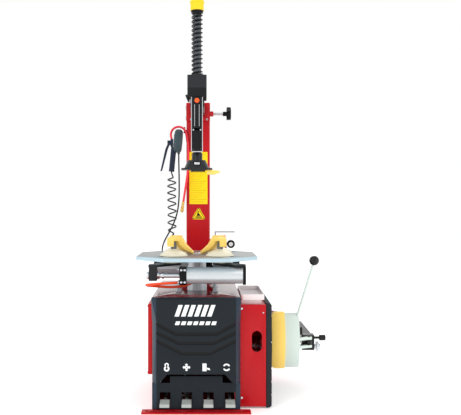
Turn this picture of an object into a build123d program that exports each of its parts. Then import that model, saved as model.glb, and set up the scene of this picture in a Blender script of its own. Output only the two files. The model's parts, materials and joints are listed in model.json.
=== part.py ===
from build123d import *
import math
import os

# Tilt-back tire changer, in millimetres. +Z is up, -Y is the operator's side.
# The origin is on the floor, at the centre of the four floor bolts, under the turntable's axis.

# --- driving dimensions ---
BASE_W, BASE_FRONT, BASE_BACK, BASE_T = 488, -330, 430, 8
FOOT_DEPTH, BOLT_X, BOLT_Y, BOLT_R = 52, 221, 306, 7
CAB_W, CAB_FRONT, CAB_BACK, CAB_TOP, SHEET = 396, -285, 400, 515, 4
COVER_W, COVER_Y, COVER_WALL, COVER_INSET = 400, -325, 4, 28
COVER_LOW, COVER_LIP, COVER_BEVEL, BEVEL_TOP = 133, 176, 24, 405
GROOVE_W, GROOVE_DEPTH, GROOVE_END = 14, 5, 173
PANEL_Y, PANEL_LOW, PANEL_HIGH = -300, 14, 132
PEDAL_PITCH, PEDAL_SHIFT, TREAD_W, WINDOW_W = 97, 6, 43, 47
PEDAL_PIVOT = (-140, 60)
HOUSE_X0, HOUSE_X1, HOUSE_FRONT, HOUSE_BACK, HOUSE_TOP = 198, 318, -240, 360, 474
HOUSE_SLOT_X, HOUSE_SLOT_R, HOUSE_SLOT_Z0, HOUSE_SLOT_Z1 = 276, 23, 281, 331
PAD_X1, PAD_BACK, PAD_LOW, PAD_TOP = 345, 240, 4, 480
TRAY_X1, TRAY_FRONT, TRAY_BACK, TRAY_FLOOR, TRAY_RIM, TRAY_WALL = 312, -232, 120, 494, 520, 4
TABLE_TOP, TABLE_T, TABLE_HALF, TABLE_EDGE = 689, 18, 286, 150
SLOT_W, SLOT_R0, SLOT_R1 = 40, 78, 276
JAW_R, DOME_R, DOME_H, TOOTH_TOP = 155, 68, 30, 758
CLAMP_Y, CLAMP_Z, CLAMP_R, CLAMP_CAP = -215, 605, 38, 40
COL_HALF, COL_FRONT, COL_BACK, COL_BOTTOM, COL_TOP = 65, 415, 545, 505, 1398
TILT_Y, TILT_Z, TILT_R = 480, 545, 12
SLEEVE_TOP, ARM_HALF, ARM_Z, KNOB_Z = 1498, 35, 1456, 1446
HEX_AF, HEX_Z0, HEX_Z1 = 36, 1094, 1905
HEAD_HALF, HEAD_LOW, HEAD_TOP, HEAD_SEAM = 47, 1455, 1562, 1497
SPRING_Z0, SPRING_Z1, SPRING_OD, SPRING_ID = 1573, 1878, 57, 43.5
CAP_LOW, CAP_TOP, CAP_R, CAP_RIM_R, CAP_RIM = 1886, 1935, 33, 36, 12
BUTTON_Z, FLANGE_Z, ROLLER_Z = 1433, 1102, 1133
BEAD_PIVOT = (415, 430)
BEAD_Y, BEAD_Z, BEAD_TAIL_X = -40, 243, -20
BLADE_R, BLADE_Y, BLADE_Z0, BLADE_Z1 = 190, -140, 152, 413
BLADE_X0, BLADE_X1, GUARD_X0, GUARD_X1 = 404, 487, 355, 418
BLADE_PIN = (536, -92)
LEVER_LOW, LEVER_HIGH, LEVER_BALL, BALL_R = (475, -93, 380), (553, -120, 650), (557, -121.5, 666), 23
HOSE_R, THIN_HOSE_R = 6, 4
INLET_R, INLET_DEPTH = 5.8, 16
RUN_FIT = 0.05
GAP = 0.4

parts = {}


def block(x0, x1, y0, y1, z0, z1):
    return Pos((x0 + x1) / 2, (y0 + y1) / 2, (z0 + z1) / 2) * Box(x1 - x0, y1 - y0, z1 - z0)


def rod(a, b, r):
    """Round bar of radius r from point a to point b."""
    a, b = Vector(*a), Vector(*b)
    axis = Plane(origin=a, z_dir=(b - a).normalized())
    return axis * Cylinder(r, (b - a).length, align=(Align.CENTER, Align.CENTER, Align.MIN))


def slab(points, z0, z1):
    """Prism of an outline in X and Y, from z0 up to z1."""
    face = make_face(Polyline(*points, close=True))
    return Pos(0, 0, z0) * extrude(face, z1 - z0)


def wall(points, y0, y1):
    """Prism of an outline in X and Z, from y0 back to y1."""
    face = make_face(Plane.XZ * Polyline(*points, close=True))
    return Pos(0, y1, 0) * extrude(face, y1 - y0, dir=(0, -1, 0))


def side(points, x0, x1):
    """Prism of an outline in Y and Z, from x0 to x1."""
    face = make_face(Plane.YZ * Polyline(*points, close=True))
    return Pos(x0, 0, 0) * extrude(face, x1 - x0, dir=(1, 0, 0))


def soften(part, axis, r):
    """Fillet of every straight edge that runs along the axis."""
    return fillet(part.edges().filter_by(axis), r)


# --- base, cabinet and covers ---
def base_frame():
    """Floor plate whose two wide feet carry the floor bolts; the waist lies under the cabinet."""
    wide, waist = BASE_W / 2, CAB_W / 2 - 6
    front, back = BASE_FRONT + FOOT_DEPTH, BOLT_Y - FOOT_DEPTH / 2
    outline = [(-wide, BASE_FRONT), (wide, BASE_FRONT), (wide, front), (waist, front), (waist, back), (wide, back),
               (wide, BASE_BACK), (-wide, BASE_BACK), (-wide, back), (-waist, back), (-waist, front), (-wide, front)]
    plate = slab(outline, 0, BASE_T)
    for x in (-BOLT_X, BOLT_X):
        for y in (-BOLT_Y, BOLT_Y):
            plate -= rod((x, y, -1), (x, y, BASE_T + 1), BOLT_R)
    return plate


def cabinet_shell():
    half = CAB_W / 2
    shell = soften(block(-half, half, CAB_FRONT, CAB_BACK, BASE_T, CAB_TOP), Axis.Z, 5)
    shell -= block(-half + SHEET, half - SHEET, CAB_FRONT + SHEET, CAB_BACK - SHEET, BASE_T - 1, CAB_TOP - SHEET)
    shell -= block(-half + 26, half - 26, CAB_FRONT - 1, CAB_FRONT + 6, BASE_T + 8, CAB_TOP - 22)
    shell -= rod((0, 0, CAB_TOP - 6), (0, 0, CAB_TOP + 1), 50)
    shell -= block(half - 6, half + 1, BEAD_Y - 75, BEAD_Y + 115, BEAD_Z - 65, BEAD_Z + 65)
    return shell


def table_bolts():
    solids = []
    for x in (-88, 88):
        for y in (-88, 88):
            bolt = rod((x, y, CAB_TOP), (x, y, CAB_TOP + 4), 15)
            bolt += Pos(x, y, CAB_TOP + 10) * extrude(RegularPolygon(11, 6, major_radius=True), 6, both=True)
            bolt += rod((x, y, CAB_TOP + 16), (x, y, CAB_TOP + 25), 7)
            solids.append(bolt.solid())
    return Compound(solids)


def cover_outline(inset):
    """Outline of the front cover in X and Z, moved in by inset; its lower lip rises between the feet."""
    half = COVER_W / 2 - inset
    top, low, lip = CAB_TOP - inset, COVER_LOW + inset, COVER_LIP + inset
    foot, rise = half - 33, half - 72
    return [(-half, top), (half, top), (half, low), (foot, low), (rise, lip), (-rise, lip), (-foot, low),
            (-half, low)]


def front_cover():
    back = CAB_FRONT - GAP
    cover = wall(cover_outline(0), COVER_Y, back)
    for s in (-1, 1):
        cover -= side_bevel(s)
    cover -= side([(COVER_Y - 1, CAB_TOP + 1), (COVER_Y - 1, CAB_TOP - 8), (COVER_Y + 14, CAB_TOP + 1)], -250, 250)
    hollow = wall(cover_outline(COVER_INSET), COVER_Y + 2 * COVER_WALL, back + 1)
    cover -= hollow
    for level, end, bend in ((356, 400, 90), (315, 361, 76), (269, 324, 62)):
        cover -= chevron(level, end, bend)
    return cover


def side_bevel(s):
    """Wedge off one front edge: full width up to BEVEL_TOP, then it tapers away to the top corner."""
    edge, front, back = COVER_W / 2 * s, COVER_Y - 1, CAB_FRONT + 4
    full = [(edge + s, front), (edge - COVER_BEVEL * s, front), (edge + s, back)]
    tip = [(edge + s, front), (edge - 2 * s, front), (edge + s, front + 3)]
    low_face = Pos(0, 0, BEVEL_TOP) * make_face(Polyline(*full, close=True))
    high_face = Pos(0, 0, CAB_TOP + 2) * make_face(Polyline(*tip, close=True))
    return slab(full, 0, BEVEL_TOP) + loft([low_face, high_face])


def chevron(level, end, bend):
    """Groove with a middle at the level, out to the bends, and two ends that climb towards the sides."""
    path = [(-GROOVE_END, end), (-bend, level), (bend, level), (GROOVE_END, end)]
    cut = Part()
    for (xa, za), (xb, zb) in zip(path, path[1:]):
        length = math.hypot(xb - xa, zb - za)
        angle = math.degrees(math.atan2(zb - za, xb - xa))
        bar = Box(length, GROOVE_DEPTH * 2, GROOVE_W)
        for s in (-1, 1):
            bar += Pos(s * length / 2, 0, 0) * Rot(90, 0, 0) * Cylinder(GROOVE_W / 2, GROOVE_DEPTH * 2)
        cut += Pos((xa + xb) / 2, COVER_Y, (za + zb) / 2) * Rot(0, -angle, 0) * bar
    return cut


def pedal_panel():
    half, back, wall_t = CAB_W / 2, CAB_FRONT - GAP, 5
    panel = block(-half, half, PANEL_Y, back, PANEL_LOW, PANEL_HIGH)
    panel += block(-118, 118, PANEL_Y, back, PANEL_HIGH - 1, COVER_LIP - 14)
    panel -= block(-half + 8, half - 8, PANEL_Y + wall_t, back + 1, PANEL_LOW - 1, PANEL_HIGH - 4)
    for i in range(4):
        x = pedal_x(i)
        panel -= block(x - WINDOW_W / 2, x + WINDOW_W / 2, PANEL_Y - 1, PANEL_Y + wall_t + 1, 30, 90)
    return panel


def pedal_x(i):
    return PEDAL_SHIFT + (i - 1.5) * PEDAL_PITCH


def left_side_panel():
    panel = soften(block(-225, -CAB_W / 2, -200, 260, 142, 471), Axis.X, 18)
    panel -= block(-221, -CAB_W / 2 + 1, -194, 254, 148, 465)
    for z in (461, 152):
        for y in (-188, 248):
            panel += rod((-228, y, z), (-219, y, z), 5)
    return panel


def side_housing():
    """Open-backed box beside the cabinet, with a round-ended slot in its front."""
    x0, x1, low, t = HOUSE_X0, HOUSE_X1, BASE_T + GAP, SHEET
    shell = soften(block(x0, x1, HOUSE_FRONT, HOUSE_BACK, low, HOUSE_TOP), Axis.Z, 3)
    shell -= block(x0 - 1, x1 - t, HOUSE_FRONT + t, HOUSE_BACK - t, low - 1, HOUSE_TOP - t)
    front, behind = HOUSE_FRONT - 1, HOUSE_FRONT + t + 1
    for z in (HOUSE_SLOT_Z0, HOUSE_SLOT_Z1):
        shell -= rod((HOUSE_SLOT_X, front, z), (HOUSE_SLOT_X, behind, z), HOUSE_SLOT_R)
    shell -= block(HOUSE_SLOT_X - HOUSE_SLOT_R, HOUSE_SLOT_X + HOUSE_SLOT_R, front, behind,
                   HOUSE_SLOT_Z0, HOUSE_SLOT_Z1)
    return shell - rod_window(x1 - t - 1, x1 + 1)


def rod_window(x0, x1):
    return block(x0, x1, BEAD_Y - 28, BEAD_Y + 72, BEAD_Z - 25, BEAD_Z + 25)


def wheel_rest_pad():
    pad = block(HOUSE_X1, PAD_X1, HOUSE_FRONT + 2, PAD_BACK, PAD_LOW, PAD_TOP)
    pad = chamfer(pad.edges().filter_by(Axis.Y).sort_by(Axis.X)[-2:], 9)
    pad = soften(pad, Axis.Z, 4)
    pitch, groove, depth = 60, 8, 4
    for i in range(7):
        z = pitch * (i + 1)
        if abs(z - BEAD_Z) > 40:
            pad -= block(PAD_X1 - depth, PAD_X1 + 1, HOUSE_FRONT, PAD_BACK + 1, z - groove / 2, z + groove / 2)
    return pad - rod_window(HOUSE_X1 - 1, PAD_X1 + 1)


def tool_tray():
    x0, x1, t = HOUSE_X0 + 6, TRAY_X1, TRAY_WALL
    tray = soften(block(x0, x1, TRAY_FRONT, TRAY_BACK, TRAY_FLOOR, TRAY_RIM), Axis.Z, 14)
    tray -= soften(block(x0 + t, x1 - t, TRAY_FRONT + t, TRAY_BACK - t, TRAY_FLOOR + t, TRAY_RIM + 1), Axis.Z, 11)
    stand = block(x0 + 2, x1 - 14, TRAY_FRONT + 7, TRAY_BACK - 10, HOUSE_TOP, TRAY_FLOOR)
    stand -= block(x0 + 6, x1 - 18, TRAY_FRONT + 11, TRAY_BACK - 14, HOUSE_TOP - 1, TRAY_FLOOR - t)
    return tray + stand


# --- drive ---
def gearbox():
    box = soften(block(-80, 80, -80, 80, 345, CAB_TOP - SHEET), Axis.Z, 14)
    box += rod((0, 0, CAB_TOP - SHEET), (0, 0, 564), 48)
    box += rod((-60, -81, 420), (60, -81, 420), 34)
    return box - rod((0, 0, 470), (0, 0, 565), 22 + RUN_FIT)


def drive_motor():
    body = rod((0, 80, 425), (0, 100, 425), 48) + rod((0, 100, 425), (0, 300, 425), 64)
    for i in range(12):
        fin = Rot(0, i * 30, 0) * block(-2, 2, 110, 280, 60, 70)
        body += Pos(0, 0, 425) * fin
    return body + rod((0, 300, 425), (0, 318, 425), 58)


# --- turntable and jaws ---
def turntable_plate():
    h, e = TABLE_HALF, TABLE_EDGE
    outline = [(e, -h), (h, -e), (h, e), (e, h), (-e, h), (-h, e), (-h, -e), (-e, -h)]
    plate = slab(outline, TABLE_TOP - TABLE_T, TABLE_TOP)
    plate = chamfer(plate.faces().sort_by(Axis.Z)[-1].edges(), 3)
    for i in range(4):
        mid = (SLOT_R0 + SLOT_R1) / 2
        cut = Pos(mid, 0, TABLE_TOP) * Box(SLOT_R1 - SLOT_R0, SLOT_W, TABLE_T * 3)
        plate -= Rot(0, 0, 45 + 90 * i) * cut
    return plate - rod((0, 0, 600), (0, 0, 700), 20)


def turntable_hub():
    hub = rod((0, 0, 490), (0, 0, 568), 22) + rod((0, 0, 565), (0, 0, 655), 44)
    hub += rod((0, 0, 655), (0, 0, TABLE_TOP - TABLE_T), 70)
    return hub + rod((0, 0, TABLE_TOP - TABLE_T), (0, 0, TABLE_TOP + 3), 20 - GAP)


def radial(points, half):
    """Prism of an outline in radius and Z, half wide to each side of the radius."""
    face = make_face(Plane.XZ * Polyline(*points, close=True))
    return extrude(face, half, both=True)


def jaw_angle(i):
    return (-45, -135, 135, 45)[i]


def jaw_slide(i):
    """Domed shoe on the plate, its guide in the slot, its foot below and its tooth on top."""
    top, under = TABLE_TOP + GAP, TABLE_TOP - TABLE_T - GAP
    guide = Pos(JAW_R, 0, top - 12) * Box(80, SLOT_W - 2 * GAP, 24)
    foot = block(JAW_R - 45, JAW_R + 45, -36, 36, 655, under)
    return Rot(0, 0, jaw_angle(i)) * (dome(DOME_R, DOME_H) + guide + foot + tooth(0))


def tooth(grow):
    """Hardened tooth that grips the rim, grown all round to leave room in its hood."""
    inner, outer, top = JAW_R - 10 - grow, JAW_R + 12 + grow, TOOTH_TOP + grow
    return radial([(inner, 708), (outer, 708), (outer, top), (inner + 8, top - 3), (inner, top - 18)], 9 + grow)


def dome(r, h):
    """Shallow cap of a ball on the plate, at the jaw's radius, r wide to each side and h high."""
    ball_r = (r * r + h * h) / (2 * h)
    base = TABLE_TOP + GAP
    cap = Pos(JAW_R, 0, base + h - ball_r) * Sphere(ball_r)
    return cap & block(JAW_R - r - 1, JAW_R + r + 1, -r - 1, r + 1, base, base + h + 1)


def jaw_link(i):
    """Plate that ties a jaw's foot to its clamp cylinder's end cap, or to its piston rod."""
    if i % 2 == 0:
        plate = slab([(75, -115), (115, -75), (160, -115), (226, -185), (226, -240), (180, -240)], 645, 655)
    else:
        plate = slab([(-75, -115), (-115, -75), (-160, -110), (-220, -185), (-220, -240), (-178, -240)], 645, 655)
        lug = block(-218, -182, CLAMP_Y - 24, CLAMP_Y + 24, 582, 645)
        plate += lug - rod((-220, CLAMP_Y, CLAMP_Z), (-180, CLAMP_Y, CLAMP_Z), 11)
    return Rot(0, 0, 180 if i > 1 else 0) * plate


def jaw_guard(i):
    """Plastic hood over the tooth, with a sloping tongue that reaches in to the plate's middle."""
    half, top, base = 21, TOOTH_TOP + 18, TABLE_TOP + 4
    hood = radial([(JAW_R - 24, TOOTH_TOP - 8), (JAW_R - 6, TOOTH_TOP + 1), (JAW_R + 18, TOOTH_TOP + 2),
                   (JAW_R + 18, TOOTH_TOP - 26), (JAW_R + 24, TOOTH_TOP - 26), (JAW_R + 24, top - 6),
                   (JAW_R + 14, top), (JAW_R - 26, top)], half)
    tongue = radial([(34, base), (42, base), (96, base + 21), (JAW_R - 22, TOOTH_TOP - 16),
                     (JAW_R - 8, TOOTH_TOP + 1), (JAW_R - 8, top - 2), (JAW_R - 32, top - 8), (90, base + 39),
                     (32, base + 6)], half)
    taper = slab([(30, -11), (110, -18), (JAW_R, -18), (JAW_R, 18), (110, 18), (30, 11)], base - 1, top)
    guard = hood + (tongue & taper) - dome(DOME_R + 2, DOME_H + 1) - tooth(GAP)
    return Rot(0, 0, jaw_angle(i)) * guard.solids().sort_by(SortBy.VOLUME)[-1]


def clamp_cylinder(i):
    y, z = CLAMP_Y, CLAMP_Z
    tube = rod((-45, y, z), (212, y, z), CLAMP_R)
    left = soften(block(-77, -45, y - CLAMP_CAP, y + CLAMP_CAP, z - CLAMP_CAP, z + CLAMP_CAP), Axis.X, 9)
    right = soften(block(212, 226, y - CLAMP_CAP, y + CLAMP_CAP, z - CLAMP_CAP, z + CLAMP_CAP), Axis.X, 9)
    body = tube + left + right
    for dy in (-30, 30):
        for dz in (-30, 30):
            body += rod((-81, y + dy, z + dz), (-77, y + dy, z + dz), 5)
    body -= rod((-45, y, z), (206, y, z), CLAMP_R - 3)
    body -= rod((-82, y, z), (-40, y, z), 11 + RUN_FIT)
    return Rot(0, 0, 180 * i) * body


def clamp_rod(i):
    y, z = CLAMP_Y, CLAMP_Z
    bar = rod((-232, y, z), (90, y, z), 11) + rod((70, y, z), (90, y, z), CLAMP_R - 3 - RUN_FIT)
    nut = extrude(Plane.YZ * RegularPolygon(19, 6), 12)
    bar += Pos(-182, y, z) * nut + Pos(-230, y, z) * nut
    bar += rod((-160, y, z), (-150, y, z), 15)
    return Rot(0, 0, 180 * i) * bar


# --- column, sleeve and sliding arm ---
def column_bracket():
    bracket = block(-78, 78, CAB_BACK, CAB_BACK + 12, 400, 498)
    for s in (-1, 1):
        ear = side([(CAB_BACK, 400), (CAB_BACK, 582), (510, 582), (540, 540), (540, 500), (440, 400)], 0, 12)
        bracket += Pos(66 if s > 0 else -78, 0, 0) * ear
    return bracket + rod((-86, TILT_Y, TILT_Z), (86, TILT_Y, TILT_Z), TILT_R)


def column_post():
    h = COL_HALF
    post = soften(block(-h, h, COL_FRONT, COL_BACK, COL_BOTTOM, COL_TOP), Axis.Z, 8)
    post -= block(-h + 5, h - 5, COL_FRONT + 5, COL_BACK - 5, COL_BOTTOM - 1, COL_TOP - 8)
    return post - rod((-h - 1, TILT_Y, TILT_Z), (h + 1, TILT_Y, TILT_Z), TILT_R + RUN_FIT)


def arm_sleeve():
    bore = ARM_HALF + 0.3
    sleeve = soften(block(-66, 66, COL_FRONT - 6, COL_BACK + 6, COL_TOP, SLEEVE_TOP), Axis.Y, 6)
    sleeve -= block(-bore, bore, COL_FRONT - 100, COL_BACK + 100, ARM_Z - bore, ARM_Z + bore)
    sleeve += rod((64, TILT_Y, KNOB_Z), (85, TILT_Y, KNOB_Z), 15)
    return sleeve - rod((30, TILT_Y, KNOB_Z), (90, TILT_Y, KNOB_Z), 8 + RUN_FIT)


def clamp_knob():
    """Screw that locks the sliding arm, with a boss and a five-lobed grip."""
    y, z = TILT_Y, KNOB_Z
    knob = rod((36, y, z), (142, y, z), 8) + rod((139, y, z), (162, y, z), 13)
    knob += rod((159, y, z), (184, y, z), 30)
    for i in range(5):
        turn = math.radians(90 + 72 * i)
        cy, cz = y + 29 * math.cos(turn), z + 29 * math.sin(turn)
        knob += rod((160, cy, cz), (183, cy, cz), 9)
    return knob


def hex_bar(af, z0, z1):
    """Hexagon with two corners on the X axis, af across its flats."""
    outline = RegularPolygon(af / 2, 6, major_radius=False)
    return Pos(0, 0, z0) * extrude(outline, z1 - z0)


def horizontal_arm():
    a = ARM_HALF
    arm = soften(block(-a, a, 60, 640, ARM_Z - a, ARM_Z + a), Axis.Y, 5)
    arm -= block(-a + 5, a - 5, 110, 630, ARM_Z - a + 5, ARM_Z + a - 5)
    head = block(-40, 40, -50, 62, 1461, 1551) + rod((0, 0, 1550), (0, 0, SPRING_Z0), 30)
    return arm + head - hex_bar(HEX_AF + 0.3, 1400, 1600)


def head_cover():
    """Two-part plastic box over the arm's head, with a seam groove and two release lugs."""
    h, t = HEAD_HALF, 4
    cover = soften(block(-h, h, -60, 58, HEAD_LOW, HEAD_TOP), Axis.Z, 6)
    cover = fillet(cover.faces().sort_by(Axis.Z)[-1].edges(), 4)
    seam = block(-h - 1, h + 1, -61, 59, HEAD_SEAM, HEAD_SEAM + 2)
    cover -= seam - block(-h + 1, h - 1, -59, 57, HEAD_SEAM - 1, HEAD_SEAM + 3)
    cover -= block(-h + t, h - t, -55, 70, HEAD_LOW + 4, HEAD_TOP - 4)
    cover -= rod((0, 0, HEAD_TOP - 10), (0, 0, HEAD_TOP + 1), 30.4)
    cover -= rod((0, 0, HEAD_LOW - 5), (0, 0, HEAD_LOW + 10), 28)
    cover -= block(-36.4, 36.4, 20, 70, HEAD_LOW - 5, HEAD_LOW + 10)
    cover += wall([(-58, 1466), (-47, 1470), (-37, 1454), (-36, 1434), (-44, 1434)], -34, -14)
    return cover + block(32, 45, -34, -14, 1440, HEAD_LOW + 2)


# --- vertical shaft and what it carries ---
def hex_shaft():
    return hex_bar(HEX_AF, HEX_Z0, HEX_Z1)


def return_spring():
    tube = rod((0, 0, SPRING_Z0 + GAP), (0, 0, SPRING_Z1 - GAP), SPRING_OD / 2)
    return tube - rod((0, 0, SPRING_Z0 - 1), (0, 0, SPRING_Z1 + 1), SPRING_ID / 2)


def spring_collar():
    return rod((0, 0, SPRING_Z1), (0, 0, CAP_LOW), 30) - hex_bar(HEX_AF, SPRING_Z1 - 5, CAP_LOW + 5)


def shaft_cap():
    cap = rod((0, 0, CAP_LOW), (0, 0, CAP_TOP - 1), CAP_R) + rod((0, 0, CAP_TOP - CAP_RIM), (0, 0, CAP_TOP), CAP_RIM_R)
    cap = fillet(cap.edges().filter_by(GeomType.CIRCLE).sort_by(Axis.Z)[-1], 4)
    return cap - hex_bar(HEX_AF, CAP_LOW - 6, HEX_Z1)


def shaft_clamp():
    return soften(block(-25, 25, -22, 28, 1210, 1287), Axis.Z, 4) - hex_bar(HEX_AF, 1200, 1300)


def handle_bracket():
    rail = block(-28, 28, -74, -22, 1190, 1451) - block(-25, 25, -80, -26, 1180, 1460)
    for z in (1205, 1293):
        for x in (-18, 18):
            rail += rod((x, -30, z), (x, -26, z), 6)
    return rail


def handle_grip():
    grip = block(-24.6, 24.6, -80, -31, 1300, 1447)
    grip = fillet(grip.edges().filter_by(Axis.Z).sort_by(Axis.Y)[:2], 9)
    for x in (-11, 11):
        grip -= block(x - 2, x + 2, -81, -77, 1306, BUTTON_Z - 14)
    grip -= rod((0, -90, BUTTON_Z), (0, -62, BUTTON_Z), 12)
    nose = soften(block(-24.6, 24.6, -66, -31, 1192, 1299.6), Axis.X, 12)
    return Compound([grip.solid(), nose.solid()])


def lock_button():
    button = rod((0, -84, BUTTON_Z), (0, -67, BUTTON_Z), 11.5)
    return fillet(button.edges().sort_by(Axis.Y)[0], 3)


def mount_head():
    """Bell that clamps on the shaft, over a flange, with a window for its roller."""
    z = FLANGE_Z
    flange = soften(block(-78, 75, -44, 44, z, z + 9), Axis.Z, 30)
    bell = Pos(-2, 0, z + 28) * Cone(62, 44, 40) & block(-80, 80, -40, 40, z + 6, z + 50)
    foot = soften(block(-32, 40, -24, 24, HEX_Z0, z + 1), Axis.Z, 10)
    head = flange + bell + foot + rod((0, 0, z + 47), (0, 0, z + 84), 26)
    head -= hex_bar(HEX_AF, HEX_Z0 - 1, z + 100)
    head -= block(-17, 17, -50, -24, ROLLER_Z - 11, ROLLER_Z + 11)
    return head + rod((-18, -36, ROLLER_Z), (18, -36, ROLLER_Z), 3)


def head_insert():
    """Plastic finger under the flange's right end."""
    top = FLANGE_Z - GAP
    wing = wall([(48.4, top), (74, top), (113, top - 5), (113, top - 11), (82, top - 21), (48.4, top - 21)], -28, 28)
    return soften(wing, Axis.Y, 1.5)


def head_roller():
    roller = rod((-13, -36, ROLLER_Z), (13, -36, ROLLER_Z), 9)
    return roller - rod((-20, -36, ROLLER_Z), (20, -36, ROLLER_Z), 3 + RUN_FIT)


# --- inflating gun, its hoses and the air unit ---
GUN_FOOT, GUN_NECK = (-147, 400, 1116), (-133, 400, 1262)
GUN_HEAD_Z = 1275
GAUGE_C = (-110, 400, 1285)
GAUGE_R, GAUGE_HALF, GAUGE_LEAN = 65, 22, 5


def gun_body():
    """Leaning round handle below a square head, with two cheeks that hold the lever's pin."""
    x, y, z = GUN_NECK[0], GUN_NECK[1], GUN_HEAD_Z
    body = rod(GUN_FOOT, GUN_NECK, 15)
    body += soften(block(x - 19, x - 4, y - 15, y + 15, z - 22, z + 20), Axis.Z, 4)
    for dy in (-15, 11.5):
        body += block(x - 36, x - 14, y + dy, y + dy + 3.5, z - 12, z + 12)
    body += rod((x - 27, y - 14, z), (x - 27, y + 14, z), 3)
    return (body - gauge_boot()).solids().sort_by(SortBy.VOLUME)[-1]


def gun_lever():
    """Long trigger that hangs from the head's pin down beside the handle."""
    x, y, z = GUN_NECK[0], GUN_NECK[1], GUN_HEAD_Z
    lever = rod((x - 27, y - 11, z), (x - 27, y + 11, z), 7)
    path = [(x - 33, z - 2), (x - 22, z - 6), (x - 34, z - 34), (x - 46, z - 80), (x - 66, z - 154), (x - 75, z - 157),
            (x - 62, z - 100), (x - 48, z - 36)]
    lever += wall(path, y - 9, y + 9)
    return lever - rod((x - 27, y - 20, z), (x - 27, y + 20, z), 3 + RUN_FIT)


def gauge_boot():
    """Rubber boot of the round gauge, leaning towards the column."""
    lean = math.radians(GAUGE_LEAN)
    step = Vector(GAUGE_HALF * math.cos(lean), 0, -GAUGE_HALF * math.sin(lean))
    centre = Vector(*GAUGE_C)
    return fillet(rod(centre - step, centre + step, GAUGE_R).edges(), 17)


def gun_gauge():
    return gauge_boot() + rod((-107, 400, 1212), (-107, 400, 1232), 7)


def gun_hook():
    """Plate let into the column's side, with a peg that turns up to carry the gun."""
    hook = block(-68, -COL_HALF + 3, 426, 456, 1290, 1350)
    hook += rod((-66, 446, 1338), (-82, 446, 1338), 5)
    return hook + rod((-76, 446, 1338), (-76, 446, 1368), 4)


def hose_manifold():
    body = soften(block(-105, -COL_HALF, 440, 496, 615, 670), Axis.X, 5)
    return body + rod((-85, 468, 670), (-85, 468, 682), 9)


def hose_path(points, label):
    """Runs joined by tangent arcs as large as their two runs allow."""
    radii = []
    for a, b, c in zip(points, points[1:], points[2:]):
        run_in, run_out = Vector(*b) - Vector(*a), Vector(*c) - Vector(*b)
        turn = math.radians(run_in.get_angle(run_out))
        radii.append(0.45 * min(run_in.length, run_out.length) / math.tan(turn / 2))
    path = FilletPolyline(*points, radius=radii)
    print(label, "length", round(path.length), "radii", [round(r) for r in radii])
    return path


def hose(points, r, label):
    path = hose_path(points, label)
    start = Plane(origin=path @ 0, z_dir=path % 0)
    tube = sweep(start * Circle(r), path=path)
    print(label, "volume ratio", round(tube.volume / (math.pi * r * r * path.length), 4))
    return tube


WHIP_ROUTE = [(-146, 400, 1295), (-149.5, 400, 1308), (-151, 400, 1325), (-145, 400, 1344.5),
              (-129.5, 399, 1359), (-108, 398, 1365), (-86.5, 397, 1359.5), (-71, 396, 1344), (-65, 395, 1322),
              (-61, 393, 1295), (-57, 391, 1264), (-55, 390, 1228), (-53, 389, 1188), (-54, 389, 1144),
              (-59, 390, 1098), (-66, 391, 1048), (-74, 392, 998), (-81, 394, 950)]
CURL_TOP, CURL_END, CURL_R = (-138, 401, 1080), (-143, 404, 756), 27
TAIL_ROUTE = [(-143, 404, 756), (-147, 406, 732), (-147, 414, 706), (-141, 430, 680), (-127, 446, 660),
              (-105, 454, 648)]
GAUGE_ROUTE = [(-107, 400, 1212), (-107, 402, 1178), (-106, 409, 1125), (-105, 422, 1040), (-107, 436, 955),
               (-117, 445, 885), (-138, 449, 825), (-165, 451, 775), (-191, 453, 728), (-204, 458, 685),
               (-198, 466, 650), (-172, 473, 634), (-138, 477, 630), (-105, 478, 632)]
TABLE_ROUTE = [(-77, -229, 574), (-104, -235, 573), (-133, -244, 572), (-163, -252, 571), (-192, -253, 569),
               (-216, -245, 566), (-231, -224, 562), (-231, -199, 557), (-216, -178, 553), (-192, -170, 550),
               (-163, -168, 548), (-133, -169, 546), (-103, -166, 546), (-74, -157, 548), (-46, -139, 552),
               (-25, -112, 558), (-14, -81, 566)]


def whip_chuck():
    a, b = Vector(*WHIP_ROUTE[-1]), Vector(-90, 396, 895)
    step = (b - a) * 0.5
    body = rod(a, a + step, 7) + rod(a + step * 0.95, b, 8.5)
    return body + rod(b, b + (b - a) * 0.08, 5)


def curly_hose():
    """Outer shape of the coiled hose, with the short lead that hangs from the gun."""
    lead = rod(GUN_FOOT, (GUN_FOOT[0], CURL_TOP[1], CURL_TOP[2] - 2), THIN_HOSE_R)
    return rod(CURL_TOP, CURL_END, CURL_R) + lead


def frl_unit():
    unit = block(COL_HALF, 76, 452, 500, 690, 740) + soften(block(75, 160, 458, 494, 690, 724), Axis.X, 4)
    unit += rod((100, 476, 724), (100, 476, 735), 16)
    return unit - rod((118, 494 - INLET_DEPTH, 707), (118, 500, 707), INLET_R)


def frl_bowl():
    """Orange lock knob in front of the unit."""
    knob = rod((139, 443, 696), (139, 443, 763), 14)
    return fillet(knob.edges(), 4) + rod((139, 450, 707), (139, 458, 707), 8)


def frl_gauge():
    dial = rod((183, 446, 713), (183, 474, 713), 22.5)
    return fillet(dial.edges(), 2) + rod((160, 466, 713), (175, 466, 713), 5)


def frl_hook():
    hook = rod((96, 470, 735), (96, 470, 781), 2.5) + rod((96, 470, 781), (204, 470, 781), 2.5)
    return hook + Pos(96, 470, 781) * Sphere(2.5)


# --- pedals ---
def pedal_shaft():
    y, z = PEDAL_PIVOT
    shaft = rod((-186, y, z), (186, y, z), 6)
    for x in (-186, 180):
        shaft += block(x, x + 6, y - 20, y + 20, BASE_T, 80)
    return shaft


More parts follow.
